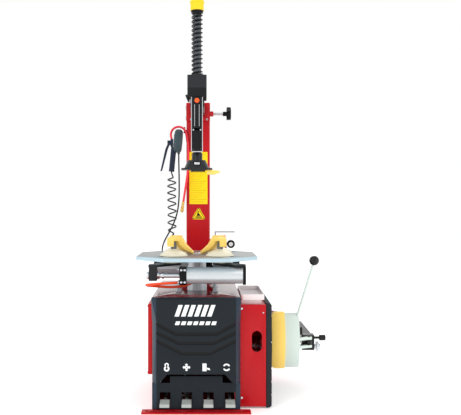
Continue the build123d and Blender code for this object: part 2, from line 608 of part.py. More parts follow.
def pedal(i):
    x = pedal_x(i)
    y, z = PEDAL_PIVOT
    half, nose, heel = TREAD_W / 2, -352, -310
    tread = side([(nose, 36), (nose, 51), (heel, 59), (-301, 59), (-301, 48), (nose + 7, 36)], x - half, x + half)
    for k in range(4):
        ridge_y = nose + 7 + 11 * k
        ridge_z = 51 + (ridge_y - nose) * 8 / 42
        tread += rod((x - half + 2, ridge_y, ridge_z), (x + half - 2, ridge_y, ridge_z), 1.6)
    bar = block(x - 6, x + 6, -304, y, 48, 58) + block(x - 6, x + 6, y - 20, y, 50, 66)
    bar += rod((x - 9, y, z), (x + 9, y, z), 12)
    return tread + bar - rod((x - 12, y, z), (x + 12, y, z), 6 + RUN_FIT)


# --- bead breaker ---
def cylinder_bracket():
    x, y = BEAD_TAIL_X, BEAD_Y
    bracket = block(x - 42, x - 30, y - 30, y + 30, BASE_T, BEAD_Z + 34)
    bracket += block(x - 31, x + 16, y - 18, y + 18, BEAD_Z - 34, BEAD_Z - 22)
    bracket += block(x - 31, x + 16, y - 18, y + 18, BEAD_Z + 22, BEAD_Z + 34)
    bracket += block(x - 80, x + 10, y - 40, y + 40, BASE_T, BASE_T + 8)
    return bracket + rod((x, y, BEAD_Z - 34), (x, y, BEAD_Z + 34), 10)


def bead_cylinder():
    x, y, z = BEAD_TAIL_X, BEAD_Y, BEAD_Z
    eye = rod((x, y, z - 21), (x, y, z + 21), 19) + block(x, x + 52, y - 14, y + 14, z - 16, z + 16)
    body = rod((x + 50, y, z), (305, y, z), 50) - rod((x + 60, y, z), (295, y, z), 44)
    body -= rod((290, y, z), (310, y, z), 12 + RUN_FIT)
    return body + eye - rod((x, y, z - 30), (x, y, z + 30), 10 + RUN_FIT)


def bead_rod():
    y, z = BEAD_Y, BEAD_Z
    bar = rod((70, y, z), (596, y, z), 12) + rod((60, y, z), (80, y, z), 44 - RUN_FIT)
    return bar + rod((578, y, z), (588, y, z), 25)


def bead_bracket():
    x, y = BEAD_PIVOT
    bracket = block(HOUSE_X1, HOUSE_X1 + 12, 250, 356, BEAD_Z - 46, BEAD_Z + 106)
    outline = [(HOUSE_X1, 262), (HOUSE_X1 + 12, 262), (x + 26, y - 20), (x + 26, y + 22), (x - 20, y + 24),
               (HOUSE_X1, 350)]
    for z in (BEAD_Z - 36, BEAD_Z + 82):
        bracket += slab(outline, z, z + 14)
    return bracket + rod((x, y, BEAD_Z - 40), (x, y, BEAD_Z + 100), 12)


def bead_arm():
    x, y = BEAD_PIVOT
    low, high = BEAD_Z + 5, BEAD_Z + 55
    bar = slab([(x - 22, y - 20), (511, 318), (511, -12), (561, -12), (561, 352), (x + 18, y + 26)], low, high)
    bar = soften(bar, Axis.Z, 6)
    hub = rod((x, y, low - 25), (x, y, high + 25), 30) - rod((x, y, low - 40), (x, y, high + 40), 12 + RUN_FIT)
    return bar - rod((x, y, low - 1), (x, y, high + 1), 12 + RUN_FIT) + hub


def arm_head():
    """Block over the piston rod, with a front cheek, a stop lug and an arm that holds the blade's pin."""
    px, py = BLADE_PIN
    z = BEAD_Z
    head = block(506, 566, -72, -12, z + 18, z + 59) + block(506, 566, -72, -65, z - 12, z + 19)
    head += side([(-52, z + 58), (-30, z + 58), (-30, z + 92), (-40, z + 92)], 498, 512)
    head += block(px - 12, px + 12, py, -71, z + 20, z + 42) + rod((px, py, z + 20), (px, py, z + 42), 14)
    return head + rod((px, py, z + 4), (px, py, z + 58), 7)


def arm_knob():
    z = BEAD_Z + 42
    stem = rod((566, BEAD_Y, z), (600, BEAD_Y, z), 6)
    return stem + soften_disc(rod((594, BEAD_Y, z), (624, BEAD_Y, z), 14))


def soften_disc(disc):
    return fillet(disc.edges(), 3)


def blade_shell(x0, x1, r_out, r_in, z0, z1, corner):
    """Slice of a tube whose axis lies along X, bulging towards the operator."""
    yc, zc = BLADE_Y + BLADE_R, (BLADE_Z0 + BLADE_Z1) / 2
    shell = rod((x0, yc, zc), (x1, yc, zc), r_out) - rod((x0 - 1, yc, zc), (x1 + 1, yc, zc), r_in)
    frame = block(x0, x1, BLADE_Y - 30, BLADE_Y + 90, z0, z1)
    if corner:
        frame = fillet(frame.edges().filter_by(Axis.Y).sort_by(Axis.X)[:2], corner)
    return (shell & frame).solid()


def bead_blade():
    px, py = BLADE_PIN
    blade = blade_shell(BLADE_X0, BLADE_X1, BLADE_R, BLADE_R - 6, BLADE_Z0, BLADE_Z1, 0)
    lug = [(BLADE_X1 - 35, BLADE_Y + 5), (BLADE_X1 - 8, BLADE_Y + 5), (px + 12, py - 8), (px + 4, py + 12),
           (px - 14, py + 4)]
    low, high = BEAD_Z + 6, BEAD_Z + 44
    for z in (low, high):
        blade += slab(lug, z, z + 12) + rod((px, py, z), (px, py, z + 12), 15)
    blade -= rod((px, py, low - 6), (px, py, high + 20), 7 + RUN_FIT)
    return blade + rod(LEVER_LOW, LEVER_HIGH, 5.5)


def lever_ball():
    return Pos(*LEVER_BALL) * Sphere(BALL_R) - rod(LEVER_LOW, LEVER_HIGH, 5.5)


def blade_guard():
    guard = blade_shell(GUARD_X0, GUARD_X1, BLADE_R + 7, BLADE_R - 12, BLADE_Z0 - 4, BLADE_Z1 + 4, 22)
    yc, zc = BLADE_Y + BLADE_R, (BLADE_Z0 + BLADE_Z1) / 2
    slot = rod((BLADE_X0 - GAP, yc, zc), (GUARD_X1 + 1, yc, zc), BLADE_R + 0.2)
    slot -= rod((BLADE_X0 - 1, yc, zc), (GUARD_X1 + 2, yc, zc), BLADE_R - 6.2)
    return guard - slot


def solids_of(*shapes):
    """One group of separate solids, for pieces that share a node."""
    return Compound([solid for shape in shapes for solid in shape.solids()])


def add_single_nodes():
    for make in (base_frame, front_cover, pedal_panel, left_side_panel, wheel_rest_pad, tool_tray, drive_motor,
                 turntable_plate, turntable_hub, arm_sleeve, clamp_knob, horizontal_arm, head_cover,
                 return_spring, hex_shaft, handle_bracket, lock_button, mount_head, head_insert, head_roller,
                 gun_body, gun_lever, gun_gauge, hose_manifold, whip_chuck, frl_gauge, bead_cylinder,
                 bead_rod, bead_arm, blade_guard):
        parts[make.__name__] = make()


def add_grouped_nodes():
    parts["cabinet_shell"] = cabinet_shell() + column_bracket()
    parts["floor_brackets"] = solids_of(cylinder_bracket(), pedal_shaft())
    parts["side_housing"] = side_housing() + bead_bracket()
    parts["gearbox"] = solids_of(gearbox(), table_bolts())
    parts["column_post"] = column_post() + gun_hook()
    parts["shaft_cap"] = shaft_cap() + spring_collar()
    parts["handle_grip"] = solids_of(handle_grip(), shaft_clamp())
    parts["frl_unit"] = solids_of(frl_unit() + frl_hook(), frl_bowl())
    parts["arm_head"] = arm_head() + arm_knob()
    parts["bead_blade"] = solids_of(bead_blade(), lever_ball())


def add_repeated_nodes():
    for i in range(4):
        parts[f"jaw_slide_{i + 1}"] = jaw_slide(i) + jaw_link(i)
        parts[f"jaw_guard_{i + 1}"] = jaw_guard(i)
        parts[f"pedal_{i + 1}"] = pedal(i)
    for i in range(2):
        parts[f"clamp_cylinder_{i + 1}"] = clamp_cylinder(i)
        parts[f"clamp_rod_{i + 1}"] = clamp_rod(i)


def add_hoses():
    parts["whip_hose"] = hose(WHIP_ROUTE, HOSE_R, "whip")
    parts["curly_hose"] = solids_of(curly_hose(), hose(TAIL_ROUTE, THIN_HOSE_R, "curly tail"))
    parts["gauge_hose"] = hose(GAUGE_ROUTE, THIN_HOSE_R, "gauge")
    parts["table_hose"] = hose(TABLE_ROUTE, HOSE_R, "table")


def write_steps():
    os.makedirs("parts", exist_ok=True)
    for name, shape in parts.items():
        export_step(shape, f"parts/{name}.step")
    print(len(parts), "nodes")


add_single_nodes()
add_grouped_nodes()
add_repeated_nodes()
add_hoses()
write_steps()
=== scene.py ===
import json
import math

import bmesh
import bpy
from mathutils import Matrix, Vector


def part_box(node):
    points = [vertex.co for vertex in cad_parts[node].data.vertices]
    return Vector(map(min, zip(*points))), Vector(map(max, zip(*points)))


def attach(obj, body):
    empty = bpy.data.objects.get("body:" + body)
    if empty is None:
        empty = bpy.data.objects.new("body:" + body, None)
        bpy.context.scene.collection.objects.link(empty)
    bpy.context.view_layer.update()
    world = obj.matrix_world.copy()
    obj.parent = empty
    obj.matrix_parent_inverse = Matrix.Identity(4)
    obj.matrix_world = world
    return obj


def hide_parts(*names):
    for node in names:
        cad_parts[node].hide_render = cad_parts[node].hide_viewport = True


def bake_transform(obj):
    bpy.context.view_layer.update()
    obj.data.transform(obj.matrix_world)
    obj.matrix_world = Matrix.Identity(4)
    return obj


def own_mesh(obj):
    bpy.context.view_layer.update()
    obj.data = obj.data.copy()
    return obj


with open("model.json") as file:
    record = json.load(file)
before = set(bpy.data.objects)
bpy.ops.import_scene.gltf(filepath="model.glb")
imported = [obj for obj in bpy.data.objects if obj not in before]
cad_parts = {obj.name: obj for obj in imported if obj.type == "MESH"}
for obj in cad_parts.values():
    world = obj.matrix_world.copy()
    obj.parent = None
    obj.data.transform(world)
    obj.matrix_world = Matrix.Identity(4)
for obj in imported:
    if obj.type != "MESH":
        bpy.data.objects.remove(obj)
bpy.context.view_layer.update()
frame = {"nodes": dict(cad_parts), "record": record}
nodes = frame["nodes"]
slot_of = {row["node"]: row["material_slot"] for row in frame["record"]["subparts"]}
MM = 0.001

# --- places and sizes that the frame's boxes don't give, in metres ---
CAMERA_PLACE, CAMERA_LENS, CAMERA_SHIFT = (0.044, -3.300, 0.918), 52.3, 0.053
FLOOR_REACH = 14
TILT_PIN = (0.086, 0.480, 0.545)
BEAD_PIN, BEAD_NUTS_Z = (0.415, 0.430), ((0.339, 1), (0.207, -1))
BEAD_ROD_END = (0.588, -0.040, 0.243)
STRIP_LOW, STRIP_HIGH = 1.309, 1.414
AIR_DIAL_Z, AIR_DIAL_R, AIR_DIAL_FACE = 0.713, 0.0215, 0.58
GUN_DIAL, GUN_DIAL_WAY = (-0.1319, 0.400, 1.2869), (-0.9962, 0, 0.0872)
GUN_DIAL_R, GUN_DIAL_FACE = 0.044, 0.86
LEVER_FOOT, LEVER_TIP, LEVER_R = (0.475, -0.093, 0.382), (0.553, -0.120, 0.650), 0.0058
BALL_Y, BALL_INSET, BALL_R = -0.1215, 0.023, 0.0233
GROOVES = ((0.356, 0.400, 0.090), (0.315, 0.361, 0.076), (0.269, 0.324, 0.062))
GROOVE_DEPTH, GROOVE_HALF, GROOVE_END = 0.005, 0.0062, 0.172
WHIP_R, GAUGE_R, CURL_R, TABLE_R = 0.006, 0.004, 0.0038, 0.006


# --- camera, light and floor ---
def make_camera():
    camera = bpy.data.objects.new("camera", bpy.data.cameras.new("camera"))
    bpy.context.scene.collection.objects.link(camera)
    camera.location = CAMERA_PLACE
    camera.rotation_euler = (math.radians(90), 0, 0)
    camera.data.sensor_width = 36
    camera.data.lens = CAMERA_LENS
    camera.data.shift_x = CAMERA_SHIFT
    bpy.context.scene.camera = camera


def area_light(name, place, target, size, power):
    light = bpy.data.lights.new(name, "AREA")
    light.size, light.energy = size, power
    lamp = bpy.data.objects.new(name, light)
    lamp.location = place
    lamp.rotation_euler = (Vector(target) - Vector(place)).to_track_quat("-Z", "Y").to_euler()
    bpy.context.scene.collection.objects.link(lamp)


def make_studio():
    world = bpy.data.worlds.new("studio")
    world.use_nodes = True
    world.node_tree.nodes["Background"].inputs["Color"].default_value = (1, 1, 1, 1)
    world.node_tree.nodes["Background"].inputs["Strength"].default_value = 1.0
    bpy.context.scene.world = world
    bpy.context.scene.view_settings.view_transform = "Standard"
    area_light("key", (-2.2, -3.2, 3.4), (0, 0, 0.9), 2.2, 26)
    area_light("fill", (2.8, -2.4, 2.0), (0.2, 0, 0.7), 2.0, 12)
    area_light("rim", (0.5, 3.0, 3.2), (0, 0.3, 1.0), 2.0, 24)
    area_light("left_strip", (-2.4, -1.2, 0.7), (-0.2, -0.3, 0.4), 1.4, 9)
    area_light("right_strip", (2.4, -1.2, 0.7), (0.2, -0.3, 0.4), 1.4, 7)
    mesh = bpy.data.meshes.new("floor")
    far = FLOOR_REACH
    mesh.from_pydata([(-far, -far, 0), (far, -far, 0), (far, far, 0), (-far, far, 0)], [], [(0, 1, 2, 3)])
    floor = bpy.data.objects.new("floor", mesh)
    bpy.context.scene.collection.objects.link(floor)
    pale = surface("floor_pale", (255, 255, 255), 0.95, vary=0.0, bump=0, specular=0.0)
    shader = pale.node_tree.nodes["Principled BSDF"]
    shader.inputs["Emission Color"].default_value = (1, 1, 1, 1)
    shader.inputs["Emission Strength"].default_value = 0.2
    floor.data.materials.append(pale)


# --- materials ---
def linear(c):
    c = c / 255
    return c / 12.92 if c <= 0.04045 else ((c + 0.055) / 1.055) ** 2.4


def shade(colour, gain):
    return tuple(min(1.0, linear(c) * gain) for c in colour) + (1.0,)


def surface(name, colour, rough, metal=0.0, vary=0.07, patch=9.0, grain=700.0, bump=0.06, rough_vary=0.07,
            coat=0.0, stretch=(1, 1, 1), zones=(), axis="Z", specular=0.22):
    """A finish with colour patches, a fine bump and uneven gloss. Each zone's colour shows past its place."""
    mat = bpy.data.materials.new(name)
    mat.use_nodes = True
    tree = mat.node_tree
    bsdf = tree.nodes["Principled BSDF"]
    where = tree.nodes.new("ShaderNodeTexCoord").outputs["Object"]
    mapping = tree.nodes.new("ShaderNodeMapping")
    mapping.inputs["Scale"].default_value = stretch
    tree.links.new(where, mapping.inputs["Vector"])

    def noise(scale, detail):
        node = tree.nodes.new("ShaderNodeTexNoise")
        node.inputs["Scale"].default_value = scale
        node.inputs["Detail"].default_value = detail
        tree.links.new(mapping.outputs["Vector"], node.inputs["Vector"])
        return node.outputs["Fac"]

    def blend_colours(factor, low, high):
        mix = tree.nodes.new("ShaderNodeMix")
        mix.data_type = "RGBA"
        tree.links.new(factor, mix.inputs["Factor"])
        for socket, value in (("A", low), ("B", high)):
            target = [s for s in mix.inputs if s.name == socket and s.type == "RGBA"][0]
            if isinstance(value, tuple):
                target.default_value = value
            else:
                tree.links.new(value, target)
        return [s for s in mix.outputs if s.type == "RGBA"][0]

    patches = noise(patch, 4)
    tint = blend_colours(patches, shade(colour, 1 - vary), shade(colour, 1 + vary))
    split = tree.nodes.new("ShaderNodeSeparateXYZ") if zones else None
    for place, other in zones:
        tree.links.new(where, split.inputs[0])
        past = tree.nodes.new("ShaderNodeMath")
        past.operation = "GREATER_THAN"
        past.inputs[1].default_value = place
        tree.links.new(split.outputs[axis], past.inputs[0])
        second = blend_colours(patches, shade(other, 1 - vary), shade(other, 1 + vary))
        tint = blend_colours(past.outputs[0], tint, second)
    tree.links.new(tint, bsdf.inputs["Base Color"])
    spread = tree.nodes.new("ShaderNodeMapRange")
    spread.inputs["To Min"].default_value = max(0.02, rough - rough_vary)
    spread.inputs["To Max"].default_value = min(1.0, rough + rough_vary)
    tree.links.new(noise(patch * 4, 6), spread.inputs["Value"])
    tree.links.new(spread.outputs["Result"], bsdf.inputs["Roughness"])
    if bump:
        relief = tree.nodes.new("ShaderNodeBump")
        relief.inputs["Strength"].default_value = bump
        relief.inputs["Distance"].default_value = 0.001
        tree.links.new(noise(grain, 3), relief.inputs["Height"])
        tree.links.new(relief.outputs["Normal"], bsdf.inputs["Normal"])
    bsdf.inputs["Metallic"].default_value = metal
    bsdf.inputs["Coat Weight"].default_value = coat
    bsdf.inputs["Coat Roughness"].default_value = 0.12
    bsdf.inputs["Specular IOR Level"].default_value = specular
    return mat


def make_finishes():
    # bevel is a lighter blue-grey, a painted highlight for the light on the front cover's side bevels.
    black, silver, slate, bevel = (12, 13, 15), (206, 211, 214), (18, 26, 33), (38, 52, 66)
    cream, tooth, yellow = (228, 222, 198), (104, 109, 114), (252, 212, 108)
    blade = (204, 217, 209)
    made = {
        "red_paint": surface("powder_red", (184, 8, 22), 0.34, vary=0.05, bump=0.1, grain=900, coat=0.06),
        # Painted highlight: the cover's side bevels past x = ±0.178 get the lighter bevel colour, and the
        # front between them gets the darker slate.
        "slate_cover": surface("slate_moulding_lit_bevels", bevel, 0.42, vary=0.1, bump=0.3, grain=1400, axis="X",
                               zones=((-0.178, slate), (0.178, bevel))),
        "black_rubber": surface("pad_rubber", (34, 37, 41), 0.62, bump=0.4, grain=500, vary=0.12),
        "tray_paint": surface("tray_paint", (230, 219, 219), 0.4, vary=0.03, coat=0.2),
        "cast_grey": surface("cast_silver", (196, 202, 206), 0.38, metal=0.35, bump=0.3, grain=260, vary=0.1),
        "table_steel": surface("table_steel", (150, 164, 168), 0.36, metal=0.35, vary=0.12, patch=14,
                               bump=0.15, grain=240, rough_vary=0.12),
        "jaw_steel": surface("jaw_steel", (178, 192, 190), 0.3, metal=0.45, vary=0.1, bump=0.12, grain=300),
        "black_plastic": surface("black_plastic", black, 0.36, vary=0.12, bump=0.3, grain=1200),
        "black_paint": surface("black_paint", black, 0.28, vary=0.1, bump=0.12, coat=0.2),
        "polished_steel": surface("polished_steel", (205, 210, 214), 0.2, metal=0.95, vary=0.05, patch=40,
                                  stretch=(1, 1, 0.15), bump=0.08, grain=900, rough_vary=0.06),
        "polished_alloy": surface("extruded_alloy", (222, 225, 227), 0.27, metal=0.7, vary=0.04, patch=60,
                                  stretch=(0.06, 1, 1), bump=0.08, grain=800),
        "yellow_plastic": surface("yellow_plastic", yellow, 0.4, vary=0.05, bump=0.12, grain=500),
        "orange_plastic": surface("orange_plastic", (245, 95, 40), 0.35, vary=0.05, bump=0.1),
        "blue_plastic": surface("gun_plastic", (26, 36, 56), 0.36, vary=0.1, bump=0.25, grain=900),
        "gauge_rubber": surface("gauge_rubber", (58, 74, 80), 0.5, vary=0.14, bump=0.25, grain=500),
        "brass_metal": surface("brass", (205, 165, 90), 0.24, metal=0.95, vary=0.06, bump=0.05),
        "white_paint": surface("blade_paint", blade, 0.36, vary=0.03, bump=0.12, coat=0.15),
        "pedal_metal": surface("pedal_cast", (176, 180, 176), 0.4, metal=0.5, vary=0.14, bump=0.35,
                               grain=300),
        "red_hose": surface("whip_rubber", (232, 56, 70), 0.36, vary=0.06, bump=0.12),
        "black_hose": surface("black_air_hose", (28, 29, 31), 0.34, vary=0.08, bump=0.08),
        "orange_hose": surface("orange_air_hose", (242, 78, 42), 0.34, vary=0.06, bump=0.08),
    }
    cap_z, seam_z, boss_x, knob_y = 1.886, 1.498, 0.1388, 0.4578
    tube_x = (-0.0449, 0.2121)
    foot_z, dome_z, cab_top = 0.6565, 0.7205, 0.5146
    turned = {"metal": 0.4, "axis": "X", "vary": 0.03, "bump": 0, "rough_vary": 0.02}
    special = {
        "shaft_cap": surface("cap_yellow", black, 0.34, zones=((cap_z, (250, 206, 36)),), vary=0.05),
        "bead_blade": surface("blade_and_lever", blade, 0.3, vary=0.03, coat=0.2),
        "frl_unit": surface("air_unit", (246, 116, 36), 0.36, axis="Y", zones=((knob_y, (128, 128, 124)),)),
        "mount_head": surface("mount_head_black", (28, 30, 32), 0.32, vary=0.1, coat=0.2),
        "bead_arm": surface("arm_black", (30, 32, 35), 0.32, vary=0.1, bump=0.18),
        # Painted highlight: the plate's rim below z 0.6885 is a light blue-grey, lighter than the grey top
        # face, for the light on its edge.
        "turntable_plate": surface("table_plate_lit_rim", (176, 200, 210), 0.34, metal=0.2, vary=0.06, patch=16,
                                   zones=((0.6885, (134, 140, 140)),), bump=0.16, grain=200, rough_vary=0.12),
        # Painted shade: the cabinet's top face above cab_top is coloured a darker brownish red for the
        # grazing light on the glossy red paint.
        "cabinet_shell": surface("cabinet_red_shaded_top", (184, 8, 22), 0.2, vary=0.05, bump=0.06, grain=900, coat=0.5,
                                 zones=((cab_top, (122, 14, 26)),)),
        "head_cover": surface("two_part_cover", (18, 19, 21), 0.34, zones=((seam_z, (36, 38, 42)),), bump=0.2,
                              grain=1200),
        "clamp_knob": surface("knob_and_screw", silver, 0.3, metal=0.25, axis="X", zones=((boss_x, black),)),
        "hex_shaft": surface("oiled_shaft", (92, 96, 102), 0.16, metal=0.9, vary=0.08, bump=0.05),
        "clamp_cylinder_1": surface("cylinder_one", black, 0.26, **turned,
                                    zones=((tube_x[0], silver), (tube_x[1], black))),
        "clamp_cylinder_2": surface("cylinder_two", black, 0.26, **turned,
                                    zones=((-tube_x[1], silver), (-tube_x[0], black))),
    }
    shoe = surface("jaw_shoe", (30, 32, 34), 0.32, metal=0.1, vary=0.05,
                   zones=((foot_z, cream), (dome_z, tooth)))
    for number in (1, 2, 3, 4):
        special[f"jaw_slide_{number}"] = shoe
    return made, special


# --- mesh helpers ---
def new_piece(name, bm, mat, body, smooth_angle=40):
    bmesh.ops.recalc_face_normals(bm, faces=bm.faces)
    mesh = bpy.data.meshes.new(name)
    bm.to_mesh(mesh)
    bm.free()
    mesh.polygons.foreach_set("use_smooth", [True] * len(mesh.polygons))
    mesh.set_sharp_from_angle(angle=math.radians(smooth_angle))
    mesh.materials.append(mat)
    piece = bpy.data.objects.new(name, mesh)
    bpy.context.scene.collection.objects.link(piece)
    if body:
        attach(piece, body)
    return piece


def axes_for(direction):
    """Two unit vectors square to the direction and to each other."""
    w = Vector(direction).normalized()
    u = w.orthogonal().normalized()
    return u, w.cross(u), w


def lathe(bm, place, direction, profile, sides=32):
    """Turns a profile of (radius, height) pairs about an axis through place."""
    u, v, w = axes_for(direction)
    place = Vector(place)
    rings = []
    for radius, height in profile:
        if radius < 1e-7:
            rings.append([bm.verts.new(place + w * height)])
            continue
        ring = []
        for k in range(sides):
            turn = math.tau * k / sides
            ring.append(bm.verts.new(place + w * height + (u * math.cos(turn) + v * math.sin(turn)) * radius))
        rings.append(ring)
    for low, high in zip(rings, rings[1:]):
        for k in range(sides):
            a, b = k, (k + 1) % sides
            corners = [low[a % len(low)], low[b % len(low)], high[b % len(high)], high[a % len(high)]]
            unique = list(dict.fromkeys(corners))
            if len(unique) > 2:
                bm.faces.new(unique)


def bolt_head(bm, place, direction, r, h):
    """Socket head screw: rounded rim and a hexagonal recess."""
    rim = [(0, -0.2 * h), (r, -0.2 * h), (r, 0.75 * h), (0.86 * r, h), (0.52 * r, h)]
    lathe(bm, place, direction, rim, 24)
    lathe(bm, place, direction, [(0.52 * r, h), (0.5 * r, 0.45 * h), (0, 0.4 * h)], 6)


def washer_bolt(bm, place, direction, r, h):
    """Hexagon head on a round washer."""
    lathe(bm, place, direction, [(0, -0.1 * h), (1.35 * r, -0.1 * h), (1.35 * r, 0.2 * h), (0, 0.2 * h)], 28)
    lathe(bm, place, direction, [(0, 0.15 * h), (r, 0.15 * h), (r, 0.85 * h), (0.8 * r, h), (0, h)], 6)


def prism(bm, outline, to_point, thickness):
    """Flat plate: outline in two coordinates, carried to 3D by to_point(a, b, depth)."""
    low = [bm.verts.new(to_point(a, b, 0)) for a, b in outline]
    high = [bm.verts.new(to_point(a, b, thickness)) for a, b in outline]
    bm.faces.new(low)
    bm.faces.new(list(reversed(high)))
    n = len(outline)
    for k in range(n):
        bm.faces.new([low[k], high[k], high[(k + 1) % n], low[(k + 1) % n]])


def arc(cx, cz, r, start, end, steps):
    return [(cx + r * math.cos(math.radians(start + (end - start) * k / steps)),
             cz + r * math.sin(math.radians(start + (end - start) * k / steps))) for k in range(steps + 1)]


def band(cx, cz, r_out, r_in, start, end, steps=20):
    """Outline of a ring's sector."""
    return arc(cx, cz, r_out, start, end, steps) + arc(cx, cz, r_in, end, start, steps)


def tube(bm, points, radius, sides=14, closed_ends=True):
    """Round tube along points, with a frame carried from each point to the next."""
    points = [Vector(p) for p in points]
    tangents = []
    for k in range(len(points)):
        ahead, behind = points[min(k + 1, len(points) - 1)], points[max(k - 1, 0)]
        tangents.append((ahead - behind).normalized())
    u = tangents[0].orthogonal().normalized()
    rings = []
    for p, t in zip(points, tangents):
        u = (u - t * u.dot(t)).normalized()
        v = t.cross(u)
        turns = [math.tau * k / sides for k in range(sides)]
        rings.append([bm.verts.new(p + (u * math.cos(a) + v * math.sin(a)) * radius) for a in turns])
    for low, high in zip(rings, rings[1:]):
        for k in range(sides):
            j = (k + 1) % sides
            bm.faces.new([low[k], low[j], high[j], high[k]])
    if closed_ends:
        bm.faces.new(list(reversed(rings[0])))
        bm.faces.new(rings[-1])


def spline_curve(name, points, radius):
    """Open NURBS spline with the route's points as its control points."""
    curve = bpy.data.curves.new(name, "CURVE")
    curve.dimensions = "3D"
    curve.bevel_depth = radius
    curve.bevel_resolution = 6
    curve.resolution_u = 12
    curve.use_fill_caps = True
    spline = curve.splines.new("NURBS")
    spline.points.add(len(points) - 1)
    for point, place in zip(spline.points, points):
        point.co = (*place, 1)
    spline.order_u = 3
    spline.use_endpoint_u = True
    piece = bpy.data.objects.new(name, curve)
    bpy.context.scene.collection.objects.link(piece)
    return piece


def spline_points(name, points):
    """Points read along the route's NURBS spline."""
    bare = spline_curve(name, points, 0)
    bare.data.use_fill_caps = False
    mesh = bpy.data.meshes.new_from_object(bare)
    places = [v.co.copy() for v in mesh.vertices]
    bpy.data.objects.remove(bare)
    bpy.data.meshes.remove(mesh)
    return places


# --- CAD nodes: smooth shading, small edge rounds and finishes ---
EDGE_ROUND = {"cabinet_shell": 1.2, "side_housing": 1.2, "front_cover": 1.6, "turntable_plate": 1.0}


def dress_node(name, finishes, special):
    node = nodes[name]
    node.data.materials.clear()
    node.data.materials.append(special.get(name) or finishes[slot_of[name]])
    node.data.polygons.foreach_set("use_smooth", [True] * len(node.data.polygons))
    weld = node.modifiers.new("weld", "WELD")
    weld.merge_threshold = 0.00002
    bevel = node.modifiers.new("round", "BEVEL")
    bevel.width = EDGE_ROUND.get(name, 0.7) * MM
    bevel.segments = 2
    bevel.limit_method = "ANGLE"
    bevel.angle_limit = math.radians(38)
    bevel.harden_normals = False
    bevel.use_clamp_overlap = True


# --- hoses ---
WHIP_ROUTE = [(-0.146, 0.400, 1.295), (-0.1495, 0.400, 1.308), (-0.151, 0.400, 1.325),
              (-0.145, 0.400, 1.3445), (-0.1295, 0.399, 1.359), (-0.108, 0.398, 1.365),
              (-0.0865, 0.397, 1.3595), (-0.071, 0.396, 1.344), (-0.065, 0.395, 1.322),
              (-0.061, 0.393, 1.295), (-0.057, 0.391, 1.264), (-0.055, 0.390, 1.228),
              (-0.053, 0.389, 1.188), (-0.054, 0.389, 1.144), (-0.059, 0.390, 1.098),
              (-0.066, 0.391, 1.048), (-0.074, 0.392, 0.998), (-0.081, 0.394, 0.950)]
TAIL_ROUTE = [(-0.143, 0.404, 0.756), (-0.147, 0.406, 0.732), (-0.147, 0.414, 0.706),
              (-0.141, 0.430, 0.680), (-0.127, 0.446, 0.660), (-0.105, 0.454, 0.648)]
GAUGE_ROUTE = [(-0.107, 0.400, 1.212), (-0.107, 0.402, 1.178), (-0.106, 0.409, 1.125),
               (-0.105, 0.422, 1.040), (-0.107, 0.436, 0.955), (-0.117, 0.445, 0.885),
               (-0.138, 0.449, 0.825), (-0.165, 0.451, 0.775), (-0.191, 0.453, 0.728),
               (-0.204, 0.458, 0.685), (-0.198, 0.466, 0.650), (-0.172, 0.473, 0.634),
               (-0.138, 0.477, 0.630), (-0.105, 0.478, 0.632)]
TABLE_ROUTE = [(-0.077, -0.229, 0.574), (-0.104, -0.235, 0.573), (-0.133, -0.244, 0.572),
               (-0.163, -0.252, 0.571), (-0.192, -0.253, 0.569), (-0.216, -0.245, 0.566),
               (-0.231, -0.224, 0.562), (-0.231, -0.199, 0.557), (-0.216, -0.178, 0.553),
               (-0.192, -0.170, 0.550), (-0.163, -0.168, 0.548), (-0.133, -0.169, 0.546),
               (-0.103, -0.166, 0.546), (-0.074, -0.157, 0.548), (-0.046, -0.139, 0.552),
               (-0.025, -0.112, 0.558), (-0.014, -0.081, 0.566)]


def make_whip_hose(mat):
    hose = spline_curve("whip_hose_run", WHIP_ROUTE, WHIP_R)
    hose.data.materials.append(mat)
    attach(hose, "column")
    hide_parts("whip_hose")


def make_gauge_hose(mat):
    hose = spline_curve("gauge_hose_run", GAUGE_ROUTE, GAUGE_R)
    hose.data.materials.append(mat)
    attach(hose, "column")
    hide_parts("gauge_hose")


def curl_points():
    """Control points of the curly hose: a short lead, turns that open out downwards, and the tail."""
    top, bottom = Vector((-0.147, 0.400, 1.116)), Vector(TAIL_ROUTE[0])
    turns, steps = 8, 12
    radius = 0.0225
    count = turns * steps
    points = [top, top + Vector((0.001, 0, -0.010))]
    for k in range(count + 1):
        share = k / count
        drop = 0.08 + 0.88 * share ** 1.1
        swell = min(1.0, 0.35 + share * 9, 0.35 + (1 - share) * 9)
        wobble = 1 + 0.05 * math.sin(1.7 * k)
        turn = math.tau * turns * share
        centre = top.lerp(bottom, drop)
        points.append(centre + Vector((math.cos(turn), math.sin(turn), 0)) * radius * swell * wobble)
    points.append(bottom + Vector((0, 0, 0.008)))
    return [tuple(p) for p in points] + list(TAIL_ROUTE)


def make_curly_hose(mat):
    points = curl_points()
    hose = spline_curve("curly_hose_run", points, CURL_R)
    hose.data.materials.append(mat)
    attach(hose, "column")
    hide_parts("curly_hose")
    line = spline_points("curl_line", points)


def make_table_hose(mat):
    line = spline_points("table_line", TABLE_ROUTE)
    bm = bmesh.new()
    tube(bm, line, TABLE_R)
    hose = new_piece("table_hose_run", bm, mat, None)
    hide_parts("table_hose")
    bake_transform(hose)


# --- shaft and head ---
def make_spring(mat):
    low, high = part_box("return_spring")
    outer, wire, turns, steps = 0.0285, 0.00335, 15, 26
    z0, z1 = low.z + wire, high.z - wire
    points = []
    count = int(turns * steps)
    for k in range(count + 1):
        share = k / count
        flat = 0.035
        rise = min(1.0, max(0.0, (share - flat) / (1 - 2 * flat)))
        turn = math.tau * turns * share
        z = z0 + (z1 - z0) * rise
        points.append(((outer - wire) * math.cos(turn), (outer - wire) * math.sin(turn), z))
    bm = bmesh.new()
    tube(bm, points, wire, 12)
    spring = new_piece("return_spring_coil", bm, mat, "arm", 60)
    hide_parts("return_spring")
    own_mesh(spring)


